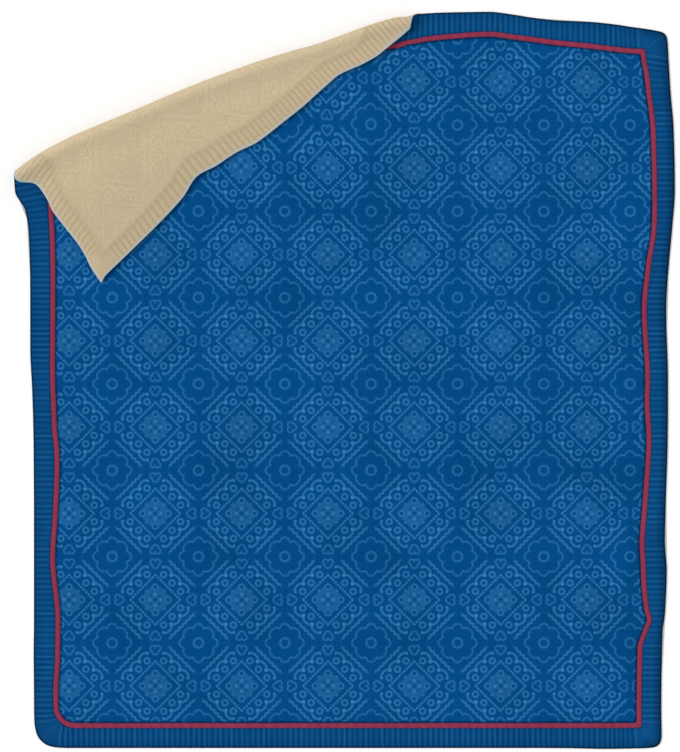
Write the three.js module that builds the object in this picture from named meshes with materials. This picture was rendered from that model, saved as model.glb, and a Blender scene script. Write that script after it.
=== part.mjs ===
// A padded quilt laid flat, its upper left corner folded over onto the face.
// Millimetres, z up. Cloth coordinates: u across, v up the length and w through
// the thickness, from the reverse (0) to the face.

import * as THREE from 'three';

// Sizes of the cloth
const WIDE = 2030;
const LONG = 2290;
const BORDER = 65;
const BAND = 16;
const SEAM = BORDER + BAND;
const GAP = 0.4;
const CORNER_STEP = 22;
const BAND_FADE = 100;

// Heights above the reverse
const BACKING_CLOTH = 2;
const FILL_FLOOR = 2.4;
const RIM_TOP = 6;
const SEAM_TOP = 9.5;
const BAND_TOP = 10;
const CROWN_TOP = 14;
const CROWN_REACH = 250;

// Quilting: pillows on a diamond lattice in the panel, ribs across the border
const REPEAT = 276;
const FIRST_U = 116;
const FIRST_V = 199;
const PILLOW = 3.5;
const PILLOW_SINK = 0.5;
const PILLOW_FADE = 45;
const BACK_PILLOW = 2.5;
const BACK_RIB = 1.6;
const RIB = 1;
const RIBS_ACROSS = 118;
const RIBS_ALONG = 133;
const LINE_CLEAR = 15;
const CUT_SLACK = 0.8;

// Fold: a line near the upper left corner and a rolled section that falls back onto the face
const FOLD_START = [-51, 1850];
const FOLD_ANGLE = THREE.MathUtils.degToRad(21.35);
const ROLL = 26;
const OVER = THREE.MathUtils.degToRad(20);
const BACK_BEND = 150;
const FLAP_HEIGHT = 36.5;
const FLAP_CLEAR = 0.8;
const TAPER = 0.25;
const TAPER_FROM = 650;
const TAPER_LENGTH = 700;
const BULGE_DEPTH = 350;
const TURN_FROM = 40;
const TURN_LENGTH = 120;
const FLAT_MARGIN = 30;
const ROLL_STEPS = 7;
const BEND_STEPS = 1;

// The four edges as they lie. Columns: place along the edge, shift outward of the edge,
// depth inside the band over which that shift fades, extra shift outward of the band.
const LEFT_EDGE = [
  [0, -4, 130, 3],
  [180, -3, 130, 3],
  [300, -2, 130, -4],
  [410, -3, 130, -4],
  [610, -3, 130, 13],
  [740, -3, 130, 5],
  [930, -2, 130, -2],
  [1040, -1, 130, 6],
  [1150, 3, 130, 6],
  [1280, 9, 130, 1],
  [1470, 9, 130, 0],
  [1650, 15, 160, -4],
  [1725, 27, 240, -13],
  [1785, 60, 300, -42],
  [1850, 64, 400, -44],
  [1890, 84, 450, -50],
  [1955, 56, 500, -20],
  [2022, 66, 500, 0],
  [2110, 80, 500, 0],
  [2200, 91, 500, 0],
  [2290, 107, 500, 0],
];
const RIGHT_EDGE = [
  [0, -16, 130, 2],
  [120, -20, 130, 2],
  [320, -17, 130, 2],
  [380, -15, 110, 19],
  [410, -10, 100, 25],
  [440, -7, 110, 14],
  [570, -2, 130, -2],
  [660, -8, 130, 0],
  [790, -5, 130, 7],
  [985, 1, 130, 13],
  [1110, 2, 130, 6],
  [1180, 2, 130, 8],
  [1400, -4, 130, 3],
  [1540, 4, 130, 8],
  [1660, 15, 130, 15],
  [1790, 24, 130, 8],
  [1980, 20, 130, 7],
  [2100, 10, 130, 3],
  [2150, 7, 130, -1],
  [2200, 4, 130, -11],
  [2240, 2, 130, -13],
  [2290, -1, 130, -13],
];
const TOP_EDGE = [
  [0, 33, 500, 0],
  [120, 36, 500, 0],
  [240, 32, 500, 0],
  [320, 25, 500, 0],
  [378, 6, 500, 0],
  [435, 25, 500, 0],
  [490, 38, 480, 0],
  [560, 61, 450, 0],
  [650, 75, 420, 0],
  [760, 79, 380, 0],
  [875, 79, 340, 0],
  [985, 102, 300, 0],
  [1040, 112, 270, -20],
  [1120, 111, 200, -92],
  [1165, 104, 140, -86],
  [1190, 88, 115, -62],
  [1212, 72, 100, -35],
  [1250, 62, 90, -12],
  [1330, 64, 90, -5],
  [1460, 66, 95, 1],
  [1530, 58, 110, 1],
  [1600, 47, 130, 3],
  [1680, 38, 130, 1],
  [1780, 34, 130, -5],
  [1860, 26, 130, -6],
  [1980, 10, 130, -6],
  [2030, 0, 130, -5],
];
const BOTTOM_EDGE = [
  [0, 0, 130, 1],
  [1700, 0, 130, 1],
  [1820, 3, 130, -2],
  [2030, 0, 130, 0],
];

// Rounding of the corners about a middle this far in from both edges, 1 for a full round.
// Columns: u, v, share at the edge, share at the band.
const ROUND_MIDDLE = 135;
const CORNERS = [
  [0, 0, 0.55, 1],
  [WIDE, 0, 0.21, 0.17],
  [WIDE, LONG, 0.11, 0.14],
  [0, LONG, 0.05, 0.05],
];

// How far the rolled edge bows outward. Columns: place along the fold, bow.
const BULGE = [
  [-60, -14],
  [0, 0],
  [60, 16],
  [130, 28],
  [220, 36],
  [400, 40],
  [650, 46],
  [820, 42],
  [950, 34],
  [1050, 24],
  [1220, 20],
  [1300, 13],
  [1354, 0],
  [1420, 0],
];

// Colours and finish. Columns: colour, roughness.
const CLOTHS = {
  face: [0x10548d, 0.9],
  border: [0x0b4b83, 0.9],
  band: [0x9a3346, 0.85],
  reverse: [0xc4b494, 0.92],
};

function smooth(x) {
  const f = THREE.MathUtils.clamp(x, 0, 1);
  return f * f * (3 - 2 * f);
}

// A smooth curve through the rows of a table.
function curve(rows, column, x) {
  const last = rows.length - 1;
  const at = THREE.MathUtils.clamp(x, rows[0][0], rows[last][0]);
  let i = 0;
  while (i < last - 1 && rows[i + 1][0] <= at) i += 1;
  const slope = (k) => (rows[k + 1][column] - rows[k][column]) / (rows[k + 1][0] - rows[k][0]);
  const tangent = (k) => {
    if (k === 0) return slope(0);
    if (k === last) return slope(last - 1);
    const product = slope(k - 1) * slope(k);
    return product > 0 ? (2 * product) / (slope(k - 1) + slope(k)) : 0;
  };
  const span = rows[i + 1][0] - rows[i][0];
  const f = (at - rows[i][0]) / span;
  const g = 1 - f;
  const ends = (1 + 2 * f) * g * g * rows[i][column] + f * f * (3 - 2 * f) * rows[i + 1][column];
  return ends + f * g * span * (g * tangent(i) - f * tangent(i + 1));
}

// Shift of a point by one edge, from its place along that edge and its depth inside it.
function edgeShift(rows, along, inside) {
  const keep = 1 - smooth((inside - SEAM) / curve(rows, 2, along));
  const near = smooth(inside / BORDER) * (1 - smooth((inside - SEAM) / BAND_FADE));
  return curve(rows, 1, along) * keep + curve(rows, 3, along) * near;
}

// The cloth as it lies before the corner is folded.
function lay(u, v) {
  let x = u - edgeShift(LEFT_EDGE, v, u) + edgeShift(RIGHT_EDGE, v, WIDE - u);
  let y = v - edgeShift(BOTTOM_EDGE, u, v) + edgeShift(TOP_EDGE, u, LONG - v);
  for (const [cornerU, cornerV, edgeShare, bandShare] of CORNERS) {
    const a = ROUND_MIDDLE - Math.abs(u - cornerU);
    const b = ROUND_MIDDLE - Math.abs(v - cornerV);
    if (a > 0 && b > 0) {
      const share = edgeShare + (bandShare - edgeShare) * smooth(inside(u, v) / BORDER);
      const drawn = share * (1 - Math.max(a, b) / Math.hypot(a, b));
      x += Math.sign(WIDE / 2 - cornerU) * a * drawn;
      y += Math.sign(LONG / 2 - cornerV) * b * drawn;
    }
  }
  return [x, y];
}

// Lengths along the rolled section: end of the roll, of the slope and of the back bend.
const BEND_DROP = BACK_BEND * (1 - Math.cos(OVER));
const SLOPE = (ROLL * (1 + Math.cos(OVER)) - FLAP_HEIGHT - BEND_DROP) / Math.sin(OVER);
const ROLL_END = ROLL * (Math.PI + OVER);
const SLOPE_END = ROLL_END + SLOPE;
const BEND_END = SLOPE_END + BACK_BEND * OVER;

// The rolled section: reach beyond the start of the roll, height and heading.
function section(length) {
  const turn = THREE.MathUtils.clamp(length, 0, ROLL_END) / ROLL;
  const slope = THREE.MathUtils.clamp(length - ROLL_END, 0, SLOPE);
  const bend = THREE.MathUtils.clamp(length - SLOPE_END, 0, BACK_BEND * OVER) / BACK_BEND;
  let reach = Math.min(length, 0) + ROLL * Math.sin(turn) - slope * Math.cos(OVER);
  reach -= BACK_BEND * (Math.sin(OVER) - Math.sin(OVER - bend)) + Math.max(0, length - BEND_END);
  let height = ROLL * (1 - Math.cos(turn)) - slope * Math.sin(OVER);
  height -= BACK_BEND * (Math.cos(OVER - bend) - Math.cos(OVER));
  return { reach, height, heading: turn - bend };
}

// Place of a cloth point along the fold and how far it is round the rolled section.
function foldPlace(u, v) {
  const [x, y] = lay(u, v);
  const dx = x - FOLD_START[0];
  const dy = y - FOLD_START[1];
  const along = dx * Math.cos(FOLD_ANGLE) + dy * Math.sin(FOLD_ANGLE);
  const beyond = dy * Math.cos(FOLD_ANGLE) - dx * Math.sin(FOLD_ANGLE);
  const scale = 1 - TAPER * smooth((along - TAPER_FROM) / TAPER_LENGTH);
  return { along, scale, round: beyond / scale + ROLL };
}

function onFlap(u, v) {
  return smooth((foldPlace(u, v).round - TURN_FROM) / TURN_LENGTH);
}

// A cloth point in space.
function place(u, v, w) {
  const { along, scale, round } = foldPlace(u, v);
  const { reach, height, heading } = section(round);
  const flat = scale * (reach - ROLL) - w * Math.sin(heading);
  const out = flat + curve(BULGE, 1, along) * smooth(1 + flat / BULGE_DEPTH);
  const x = FOLD_START[0] + along * Math.cos(FOLD_ANGLE) - out * Math.sin(FOLD_ANGLE);
  const y = FOLD_START[1] + along * Math.sin(FOLD_ANGLE) + out * Math.cos(FOLD_ANGLE);
  return new THREE.Vector3(x, y, scale * height + w * Math.cos(heading));
}

// Distance inside the nearest edge.
function inside(u, v) {
  return Math.min(u, v, WIDE - u, LONG - v);
}

// Face height without the quilting.
function faceBase(u, v) {
  const depth = inside(u, v);
  if (depth <= BORDER) return RIM_TOP + ((SEAM_TOP - RIM_TOP) * depth) / BORDER;
  return SEAM_TOP + (CROWN_TOP - SEAM_TOP) * smooth((depth - SEAM) / CROWN_REACH);
}

// Pillow shape: 0 on the diamond seams, 1 in the middle of each diamond.
function pillow(u, v) {
  const off = (x) => Math.abs(x - Math.round(x));
  const du = off((u - FIRST_U) / REPEAT);
  const dv = off((v - FIRST_V) / REPEAT);
  const away = Math.abs(1 - 2 * (du + dv));
  return (1 - (1 - away) ** 2) * smooth((inside(u, v) - SEAM) / PILLOW_FADE);
}

// Rib shape along an edge: 1 on the ribs, -1 between them.
function rib(along, length, count) {
  return Math.cos((2 * Math.PI * count * along) / length);
}

function backPillow(u, v) {
  return BACK_PILLOW * pillow(u, v) * onFlap(u, v);
}

function backRib(u, v) {
  const fromLeft = Math.min(u, WIDE - u);
  const fromEnd = Math.min(v, LONG - v);
  if (Math.min(fromLeft, fromEnd) >= BORDER - 1) return 0;
  const shape = fromLeft < fromEnd ? rib(v, LONG, RIBS_ALONG) : rib(u, WIDE, RIBS_ACROSS);
  return 0.5 * BACK_RIB * (1 + shape) * onFlap(u, v);
}

// A vertex keeps its cloth place, its point on the reverse and its thickness direction.
function vertex(u, v) {
  const rest = (FLAP_HEIGHT * foldPlace(u, v).scale) / 2 - FLAP_CLEAR;
  const lift = onFlap(u, v) * (rest - faceBase(u, v) - PILLOW + PILLOW_SINK);
  const base = place(u, v, lift);
  const toward = place(u, v, lift + 1).sub(base).normalize();
  return { u, v, base, toward };
}

function onChord(p, q, f) {
  return {
    u: p.u + (q.u - p.u) * f,
    v: p.v + (q.v - p.v) * f,
    base: p.base.clone().lerp(q.base, f),
    toward: p.toward.clone().lerp(q.toward, f).normalize(),
  };
}

function onCloth(p, q, f) {
  return vertex(p.u + (q.u - p.u) * f, p.v + (q.v - p.v) * f);
}

// Cells between lines of u and lines of v, each an anticlockwise polygon.
function gridCells(us, vs) {
  const cells = [];
  for (let i = 0; i + 1 < us.length; i += 1) {
    for (let j = 0; j + 1 < vs.length; j += 1) {
      const corners = [[us[i], vs[j]], [us[i + 1], vs[j]], [us[i + 1], vs[j + 1]], [us[i], vs[j + 1]]];
      cells.push(corners.map(([u, v]) => vertex(u, v)));
    }
  }
  return cells;
}

// Cuts every cell along the line where measure is zero.
function cut(cells, measure, join, slack) {
  const result = [];
  for (const cell of cells) {
    const sides = cell.map((p) => (Math.abs(measure(p)) < slack ? 0 : measure(p)));
    if (!sides.some((s) => s > 0) || !sides.some((s) => s < 0)) {
      result.push(cell);
      continue;
    }
    const low = [];
    const high = [];
    cell.forEach((p, i) => {
      const next = (i + 1) % cell.length;
      if (sides[i] <= 0) low.push(p);
      if (sides[i] >= 0) high.push(p);
      if (sides[i] * sides[next] < 0) {
        const between = join(p, cell[next], sides[i] / (sides[i] - sides[next]));
        low.push(between);
        high.push(between);
      }
    });
    result.push(low, high);
  }
  return result;
}

function middle(cell) {
  const sum = { u: 0, v: 0, base: new THREE.Vector3(), toward: new THREE.Vector3() };
  for (const p of cell) {
    sum.u += p.u / cell.length;
    sum.v += p.v / cell.length;
    sum.base.addScaledVector(p.base, 1 / cell.length);
    sum.toward.add(p.toward);
  }
  sum.toward.normalize();
  return sum;
}

// The place between two vertices where measure is zero, found by halving.
function meeting(p, q, measure) {
  let [low, high] = measure(p) < 0 ? [p, q] : [q, p];
  for (let i = 0; i < 30; i += 1) {
    const half = { u: (low.u + high.u) / 2, v: (low.v + high.v) / 2 };
    if (measure(half) < 0) low = half;
    else high = half;
  }
  return vertex(low.u, low.v);
}

// Cuts cells along the rolled section so that they follow it.
function cutForFold(cells) {
  const lines = [];
  for (let i = 0; i <= ROLL_STEPS; i += 1) lines.push((ROLL_END * i) / ROLL_STEPS);
  for (let i = 0; i <= BEND_STEPS; i += 1) lines.push(SLOPE_END + (BACK_BEND * OVER * i) / BEND_STEPS);
  let result = cells;
  for (const line of lines) {
    const beyond = (p) => foldPlace(p.u, p.v).round - line;
    result = cut(result, beyond, (p, q) => meeting(p, q, beyond), 0.1);
  }
  return result;
}

// Cells between lines, with blocks that lie flat joined into single cells.
function mergeFlat(us, vs) {
  const cells = [];
  const step = 4;
  const rimU = (u) => u === us[0] || u === us.at(-1);
  const rimV = (v) => v === vs[0] || v === vs.at(-1);
  for (let i = 0; i + 1 < us.length; i += step) {
    for (let j = 0; j + 1 < vs.length; j += step) {
      const blockU = us.slice(i, i + step + 1);
      const blockV = vs.slice(j, j + step + 1);
      const [u0, u1] = [blockU[0], blockU.at(-1)];
      const [v0, v1] = [blockV[0], blockV.at(-1)];
      const corners = [[u0, v0], [u1, v0], [u1, v1], [u0, v1]];
      if (!corners.every(([u, v]) => foldPlace(u, v).round < -FLAT_MARGIN)) {
        cells.push(...gridCells(blockU, blockV));
        continue;
      }
      const low = rimV(v0) ? blockU.slice(0, -1) : [u0];
      const right = rimU(u1) ? blockV.slice(0, -1) : [v0];
      const high = rimV(v1) ? blockU.slice(1).reverse() : [u1];
      const left = rimU(u0) ? blockV.slice(1).reverse() : [v1];
      const ring = [
        ...low.map((u) => [u, v0]),
        ...right.map((v) => [u1, v]),
        ...high.map((u) => [u, v1]),
        ...left.map((v) => [u0, v]),
      ];
      cells.push(ring.map(([u, v]) => vertex(u, v)));
    }
  }
  return cells;
}

function nameOf(p) {
  return `${p.u.toFixed(3)},${p.v.toFixed(3)}`;
}

// Gives every cell the vertices that its neighbours have on its edges.
function stitch(cells) {
  const known = new Map();
  for (const p of cells.flat()) {
    if (!known.has(nameOf(p))) known.set(nameOf(p), p);
  }
  const all = [...known.values()];
  return cells.map((cell) => {
    const full = [];
    cell.forEach((p, i) => {
      const q = cell[(i + 1) % cell.length];
      const du = q.u - p.u;
      const dv = q.v - p.v;
      const length = Math.hypot(du, dv);
      const share = (r) => ((r.u - p.u) * du + (r.v - p.v) * dv) / length;
      const off = (r) => Math.abs((r.u - p.u) * dv - (r.v - p.v) * du) / length;
      const extra = all.filter((r) => share(r) > 0.01 && share(r) < length - 0.01 && off(r) < 0.005);
      extra.sort((a, b) => share(a) - share(b));
      full.push(known.get(nameOf(p)), ...extra);
    });
    return full;
  });
}

function bent(a, b, c) {
  return Math.abs((b.u - a.u) * (c.v - b.v) - (b.v - a.v) * (c.u - b.u)) > 0.02;
}

// Triangles of the cells. A cell with straight-through vertices is fanned from its middle.
function triangles(cells) {
  const result = [];
  for (const cell of cells) {
    const count = cell.length;
    const plain = cell.every((p, i) => bent(p, cell[(i + 1) % count], cell[(i + 2) % count]));
    if (plain) {
      for (let i = 1; i + 1 < count; i += 1) result.push([cell[0], cell[i], cell[i + 1]]);
    } else {
      const hub = middle(cell);
      cell.forEach((p, i) => result.push([hub, p, cell[(i + 1) % count]]));
    }
  }
  return result;
}

// The outline of a set of triangles as a ring, starting nearest the given corner.
function outline(faces, corner) {
  const next = new Map();
  for (const face of faces) {
    face.forEach((p, i) => {
      const q = face[(i + 1) % 3];
      const back = `${nameOf(q)}>${nameOf(p)}`;
      if (next.has(back)) next.delete(back);
      else next.set(`${nameOf(p)}>${nameOf(q)}`, [p, q]);
    });
  }
  const after = new Map([...next.values()].map(([p, q]) => [nameOf(p), q]));
  const away = (p) => Math.hypot(p.u - corner[0], p.v - corner[1]);
  const rim = [...next.values()].map(([p]) => p);
  const start = rim.reduce((best, p) => (away(p) < away(best) ? p : best));
  const ring = [start];
  const marks = [0];
  for (let p = after.get(nameOf(start)); ; p = after.get(nameOf(p))) {
    const last = ring.at(-1);
    marks.push(marks.at(-1) + Math.hypot(p.u - last.u, p.v - last.v));
    ring.push(p);
    if (nameOf(p) === nameOf(start)) break;
  }
  return { ring, marks };
}

// One closed solid between an upper and a lower set of cells over the same outline.
function clothSolid(name, cloth, corner, upper, lower, upperLevel, lowerLevel) {
  const top = triangles(upper);
  const bottom = triangles(lower);
  const points = [];
  const known = new Map();
  const index = (p, layer) => {
    const key = `${layer}${nameOf(p)}`;
    if (!known.has(key)) {
      const level = layer === 't' ? upperLevel(p.u, p.v) : lowerLevel(p.u, p.v);
      const at = p.base.clone().addScaledVector(p.toward, level);
      known.set(key, points.length / 3);
      points.push(at.x, at.y, at.z);
    }
    return known.get(key);
  };
  const faces = [];
  for (const [a, b, c] of top) faces.push(index(a, 't'), index(b, 't'), index(c, 't'));
  for (const [a, b, c] of bottom) faces.push(index(a, 'b'), index(c, 'b'), index(b, 'b'));
  const high = outline(top, corner);
  const low = outline(bottom, corner);
  let i = 0;
  let j = 0;
  const raise = (end) => {
    for (; i < end; i += 1) {
      faces.push(index(low.ring[j], 'b'), index(high.ring[i + 1], 't'), index(high.ring[i], 't'));
    }
  };
  const run = (end) => {
    for (; j < end; j += 1) {
      faces.push(index(low.ring[j], 'b'), index(low.ring[j + 1], 'b'), index(high.ring[i], 't'));
    }
  };
  while (i + 1 < high.ring.length || j + 1 < low.ring.length) {
    let nextHigh = i + 1;
    let nextLow = j + 1;
    while (Math.abs(high.marks[nextHigh] - low.marks[nextLow]) > 0.01) {
      if (high.marks[nextHigh] < low.marks[nextLow]) nextHigh += 1;
      else nextLow += 1;
    }
    const here = high.ring[i];
    const there = high.ring[nextHigh];
    if (there.u + there.v > here.u + here.v) {
      run(nextLow);
      raise(nextHigh);
    } else {
      raise(nextHigh);
      run(nextLow);
    }
  }
  const geometry = new THREE.BufferGeometry();
  geometry.setAttribute('position', new THREE.Float32BufferAttribute(points, 3));
  geometry.setIndex(faces);
  geometry.computeVertexNormals();
  const [color, roughness] = CLOTHS[cloth];
  const mesh = new THREE.Mesh(geometry, new THREE.MeshStandardMaterial({ color, roughness, metalness: 0 }));
  mesh.name = name;
  return mesh;
}

// Lattice lines between two limits, at a quarter of the repeat.
function latticeLines(first, from, to) {
  const step = REPEAT / 4;
  const lines = [];
  for (let at = first - 2 * step; at < to - LINE_CLEAR; at += step) {
    if (at > from + LINE_CLEAR) lines.push(at);
  }
  return lines;
}

const INNER_U = latticeLines(FIRST_U, SEAM, WIDE - SEAM);
const INNER_V = latticeLines(FIRST_V, SEAM, LONG - SEAM);

// Centre panel: the face with its filling, quilted in diamonds.
function centrePanel() {
  const edge = SEAM + GAP / 2;
  const us = [edge, ...INNER_U, WIDE - edge];
  const vs = [edge, ...INNER_V, LONG - edge];
  let upper = cutForFold(gridCells(us, vs));
  const span = Math.ceil((WIDE + LONG) / REPEAT);
  for (let k = -span; k <= span; k += 1) {
    const line = (k + 0.5) * REPEAT;
    upper = cut(upper, (p) => p.u - FIRST_U + p.v - FIRST_V - line, onChord, CUT_SLACK);
    upper = cut(upper, (p) => p.u - FIRST_U - p.v + FIRST_V - line, onChord, CUT_SLACK);
  }
  const lower = stitch(cutForFold(mergeFlat(us, vs)));
  const face = (u, v) => {
    const raised = PILLOW * pillow(u, v) - PILLOW_SINK * smooth((inside(u, v) - SEAM) / PILLOW_FADE);
    return faceBase(u, v) + raised;
  };
  const floor = (u, v) => FILL_FLOOR - backPillow(u, v);
  return clothSolid('centre_panel', 'face', [edge, edge], upper, lower, face, floor);
}

// A mitred strip along one side, between two depths from the edge.
function strip(name, cloth, side, from, to, ribbed) {
  const upright = side === 'left' || side === 'right';
  const length = upright ? LONG : WIDE;
  const width = upright ? WIDE : LONG;
  const far = side === 'right' || side === 'top';
  const lines = upright ? INNER_V : INNER_U;
  const stations = [0, CORNER_STEP, BORDER, SEAM, ...lines];
  stations.push(length - SEAM, length - BORDER, length - CORNER_STEP, length);
  const depths = far ? [width - to, width - from] : [from, to];
  const depth = (p) => (upright ? Math.min(p.u, WIDE - p.u) : Math.min(p.v, LONG - p.v));
  const along = (p) => (upright ? p.v : p.u);
  let cells = upright ? gridCells(depths, stations) : gridCells(stations, depths);
  const mitre = GAP * Math.SQRT1_2;
  for (const end of [(p) => along(p), (p) => length - along(p)]) {
    const over = (p) => end(p) - depth(p) - mitre;
    cells = cut(cells, over, onCloth, 1e-6).filter((cell) => over(middle(cell)) > 0);
  }
  cells = cutForFold(cells);
  const count = upright ? RIBS_ALONG : RIBS_ACROSS;
  let upper = cells;
  if (ribbed) {
    for (let k = 1; k < 2 * count; k += 1) {
      const line = (length * k) / (2 * count);
      upper = cut(upper, (p) => along(p) - line, onChord, CUT_SLACK);
    }
    upper = stitch(upper);
  }
  const level = (u, v) => {
    if (!ribbed) return BAND_TOP;
    return faceBase(u, v) + RIB * rib(upright ? v : u, length, count);
  };
  const floor = () => FILL_FLOOR;
  const outer = far ? width - from : from;
  const corner = upright ? [outer, from] : [from, outer];
  return clothSolid(name, cloth, corner, upper, stitch(cells), level, floor);
}

// Backing: one cloth under everything, its quilting raised where it is turned up.
function backing() {
  const us = [0, BORDER, SEAM, ...INNER_U, WIDE - SEAM, WIDE - BORDER, WIDE];
  const vs = [0, BORDER, SEAM, ...INNER_V, LONG - SEAM, LONG - BORDER, LONG];
  const mitred = mergeFlat(us, vs).flatMap((cell) => {
    const hub = middle(cell);
    const atCorner = Math.max(hub.u, LONG - hub.v) < SEAM;
    return atCorner ? cut([cell], (p) => p.u + p.v - LONG, onCloth, 1e-6) : [cell];
  });
  const cells = cutForFold(mitred);
  let lower = cells;
  const turnedUp = (cell) => {
    const hub = middle(cell);
    return inside(hub.u, hub.v) < BORDER && foldPlace(hub.u, hub.v).round > TURN_FROM;
  };
  const sides = [
    { length: LONG, count: RIBS_ALONG, along: (p) => p.v, edge: (p) => Math.min(p.u, WIDE - p.u) },
    { length: WIDE, count: RIBS_ACROSS, along: (p) => p.u, edge: (p) => Math.min(p.v, LONG - p.v) },
  ];
  for (const { length, count, along, edge } of sides) {
    const ribbed = lower.filter((cell) => turnedUp(cell) && edge(middle(cell)) < BORDER);
    const rest = lower.filter((cell) => !ribbed.includes(cell));
    let cutUp = ribbed;
    for (let k = 1; k < 2 * count; k += 1) {
      const line = (length * k) / (2 * count);
      cutUp = cut(cutUp, (p) => along(p) - line, onChord, CUT_SLACK);
    }
    lower = [...rest, ...cutUp];
  }
  const top = (u, v) => BACKING_CLOTH - backPillow(u, v);
  const under = (u, v) => -backPillow(u, v) - backRib(u, v);
  return clothSolid('backing', 'reverse', [0, 0], stitch(cells), stitch(lower), top, under);
}

const quilt = new THREE.Group();
quilt.name = 'quilt';
quilt.add(centrePanel());
for (const side of ['top', 'right', 'bottom', 'left']) {
  quilt.add(strip(`band_${side}`, 'band', side, BORDER + GAP / 2, SEAM - GAP / 2, false));
  quilt.add(strip(`border_${side}`, 'border', side, 0, BORDER - GAP / 2, true));
}
quilt.add(backing());

// Origin: middle of the underside.
const box = new THREE.Box3().setFromObject(quilt);
const centre = box.getCenter(new THREE.Vector3());
quilt.position.set(-centre.x, -centre.y, -box.min.z);
quilt.updateMatrixWorld(true);

export default quilt;
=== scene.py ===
# A padded quilt laid flat on a pale floor, its upper left corner folded over onto the face.
# Sizes are in mm, and in metres in the meshes and on the stage. Cloth coordinates: u across,
# v up the length and w through the thickness, from the reverse (0) to the face.

import math

import bpy
import numpy as np
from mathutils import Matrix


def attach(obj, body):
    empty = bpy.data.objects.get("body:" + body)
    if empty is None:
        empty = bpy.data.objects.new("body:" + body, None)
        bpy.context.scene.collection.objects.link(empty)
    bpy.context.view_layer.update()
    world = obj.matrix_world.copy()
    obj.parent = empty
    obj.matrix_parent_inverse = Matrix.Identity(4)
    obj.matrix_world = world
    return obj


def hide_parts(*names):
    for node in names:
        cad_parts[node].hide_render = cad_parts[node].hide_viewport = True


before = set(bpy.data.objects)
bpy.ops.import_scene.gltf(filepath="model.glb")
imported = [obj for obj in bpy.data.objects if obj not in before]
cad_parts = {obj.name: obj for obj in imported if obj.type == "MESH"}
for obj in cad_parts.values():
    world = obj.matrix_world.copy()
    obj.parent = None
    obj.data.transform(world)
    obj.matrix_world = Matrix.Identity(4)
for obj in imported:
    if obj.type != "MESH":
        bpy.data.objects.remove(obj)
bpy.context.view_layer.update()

# Sizes of the cloth
WIDE = 2030
LONG = 2290
BORDER = 65
BAND = 16
SEAM = BORDER + BAND
GAP = 0.4
BAND_FADE = 100
MM = 0.001

# The part's origin, measured from the lower left corner of the flat cloth
MIDDLE = (996.66, 1176.43, 0)

# Heights above the reverse
BACKING_CLOTH = 2
FILL_FLOOR = 2.4
RIM_TOP = 6
SEAM_TOP = 9.5
BAND_TOP = 10
CROWN_TOP = 14
CROWN_REACH = 250

# Repeat of the print, and the middle of its first medallion on the face and on the reverse
REPEAT = 276
FIRST_U = 116
FIRST_V = 199
BACK_FIRST_U = 67
BACK_FIRST_V = 28

# Quilting: pillows on a diamond lattice in the panel, ribs across the border
PILLOW = 3.5
PILLOW_SINK = 0.5
PILLOW_FADE = 45
BACK_PILLOW = 2.5
RIB = 1.2
BACK_RIB = 1.2
RIBS_ACROSS = 118
RIBS_ALONG = 133
RIB_CORNER = 70
RIB_CORNER_FADE = 15

# Fold: a line near the upper left corner and a rolled section that falls back onto the face
FOLD_START = (-51, 1850)
FOLD_ANGLE = math.radians(21.35)
ROLL = 26
OVER = math.radians(20)
BACK_BEND = 150
FLAP_HEIGHT = 36.5
FLAP_CLEAR = 0.8
TAPER = 0.25
TAPER_FROM = 650
TAPER_LENGTH = 700
BULGE_DEPTH = 350
TURN_FROM = 40
TURN_LENGTH = 120

# The four edges as they lie. Columns: place along the edge, shift outward of the edge,
# depth inside the band over which that shift fades, extra shift outward of the band.
# A smooth curve runs through the rows.
LEFT_EDGE = [
    (0, -4, 130, 3),
    (180, -3, 130, 3),
    (300, -2, 130, -4),
    (410, -3, 130, -4),
    (610, -3, 130, 13),
    (740, -3, 130, 5),
    (930, -2, 130, -2),
    (1040, -1, 130, 6),
    (1150, 3, 130, 6),
    (1280, 9, 130, 1),
    (1470, 9, 130, 0),
    (1650, 15, 160, -4),
    (1725, 27, 240, -13),
    (1785, 60, 300, -42),
    (1850, 64, 400, -44),
    (1890, 84, 450, -50),
    (1955, 52, 500, -20),
    (2000, 59, 500, 0),
    (2035, 71, 500, 0),
    (2090, 76, 500, 0),
    (2150, 80, 500, 0),
    (2190, 88, 500, 0),
    (2230, 100, 500, 0),
    (2290, 110, 500, 0),
]
RIGHT_EDGE = [
    (0, -16, 130, 2),
    (120, -20, 130, 2),
    (320, -17, 130, 2),
    (380, -15, 110, 19),
    (410, -10, 100, 25),
    (440, -7, 110, 14),
    (570, -2, 130, -2),
    (660, -8, 130, 0),
    (790, -5, 130, 7),
    (985, 1, 130, 13),
    (1110, 2, 130, 6),
    (1180, 2, 130, 8),
    (1400, -4, 130, 3),
    (1540, 4, 130, 8),
    (1660, 15, 130, 15),
    (1790, 24, 130, 8),
    (1980, 20, 130, 7),
    (2100, 10, 130, 3),
    (2150, 7, 130, -1),
    (2200, 4, 130, -8),
    (2240, 2, 130, -9),
    (2290, -1, 130, -9),
]
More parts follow.
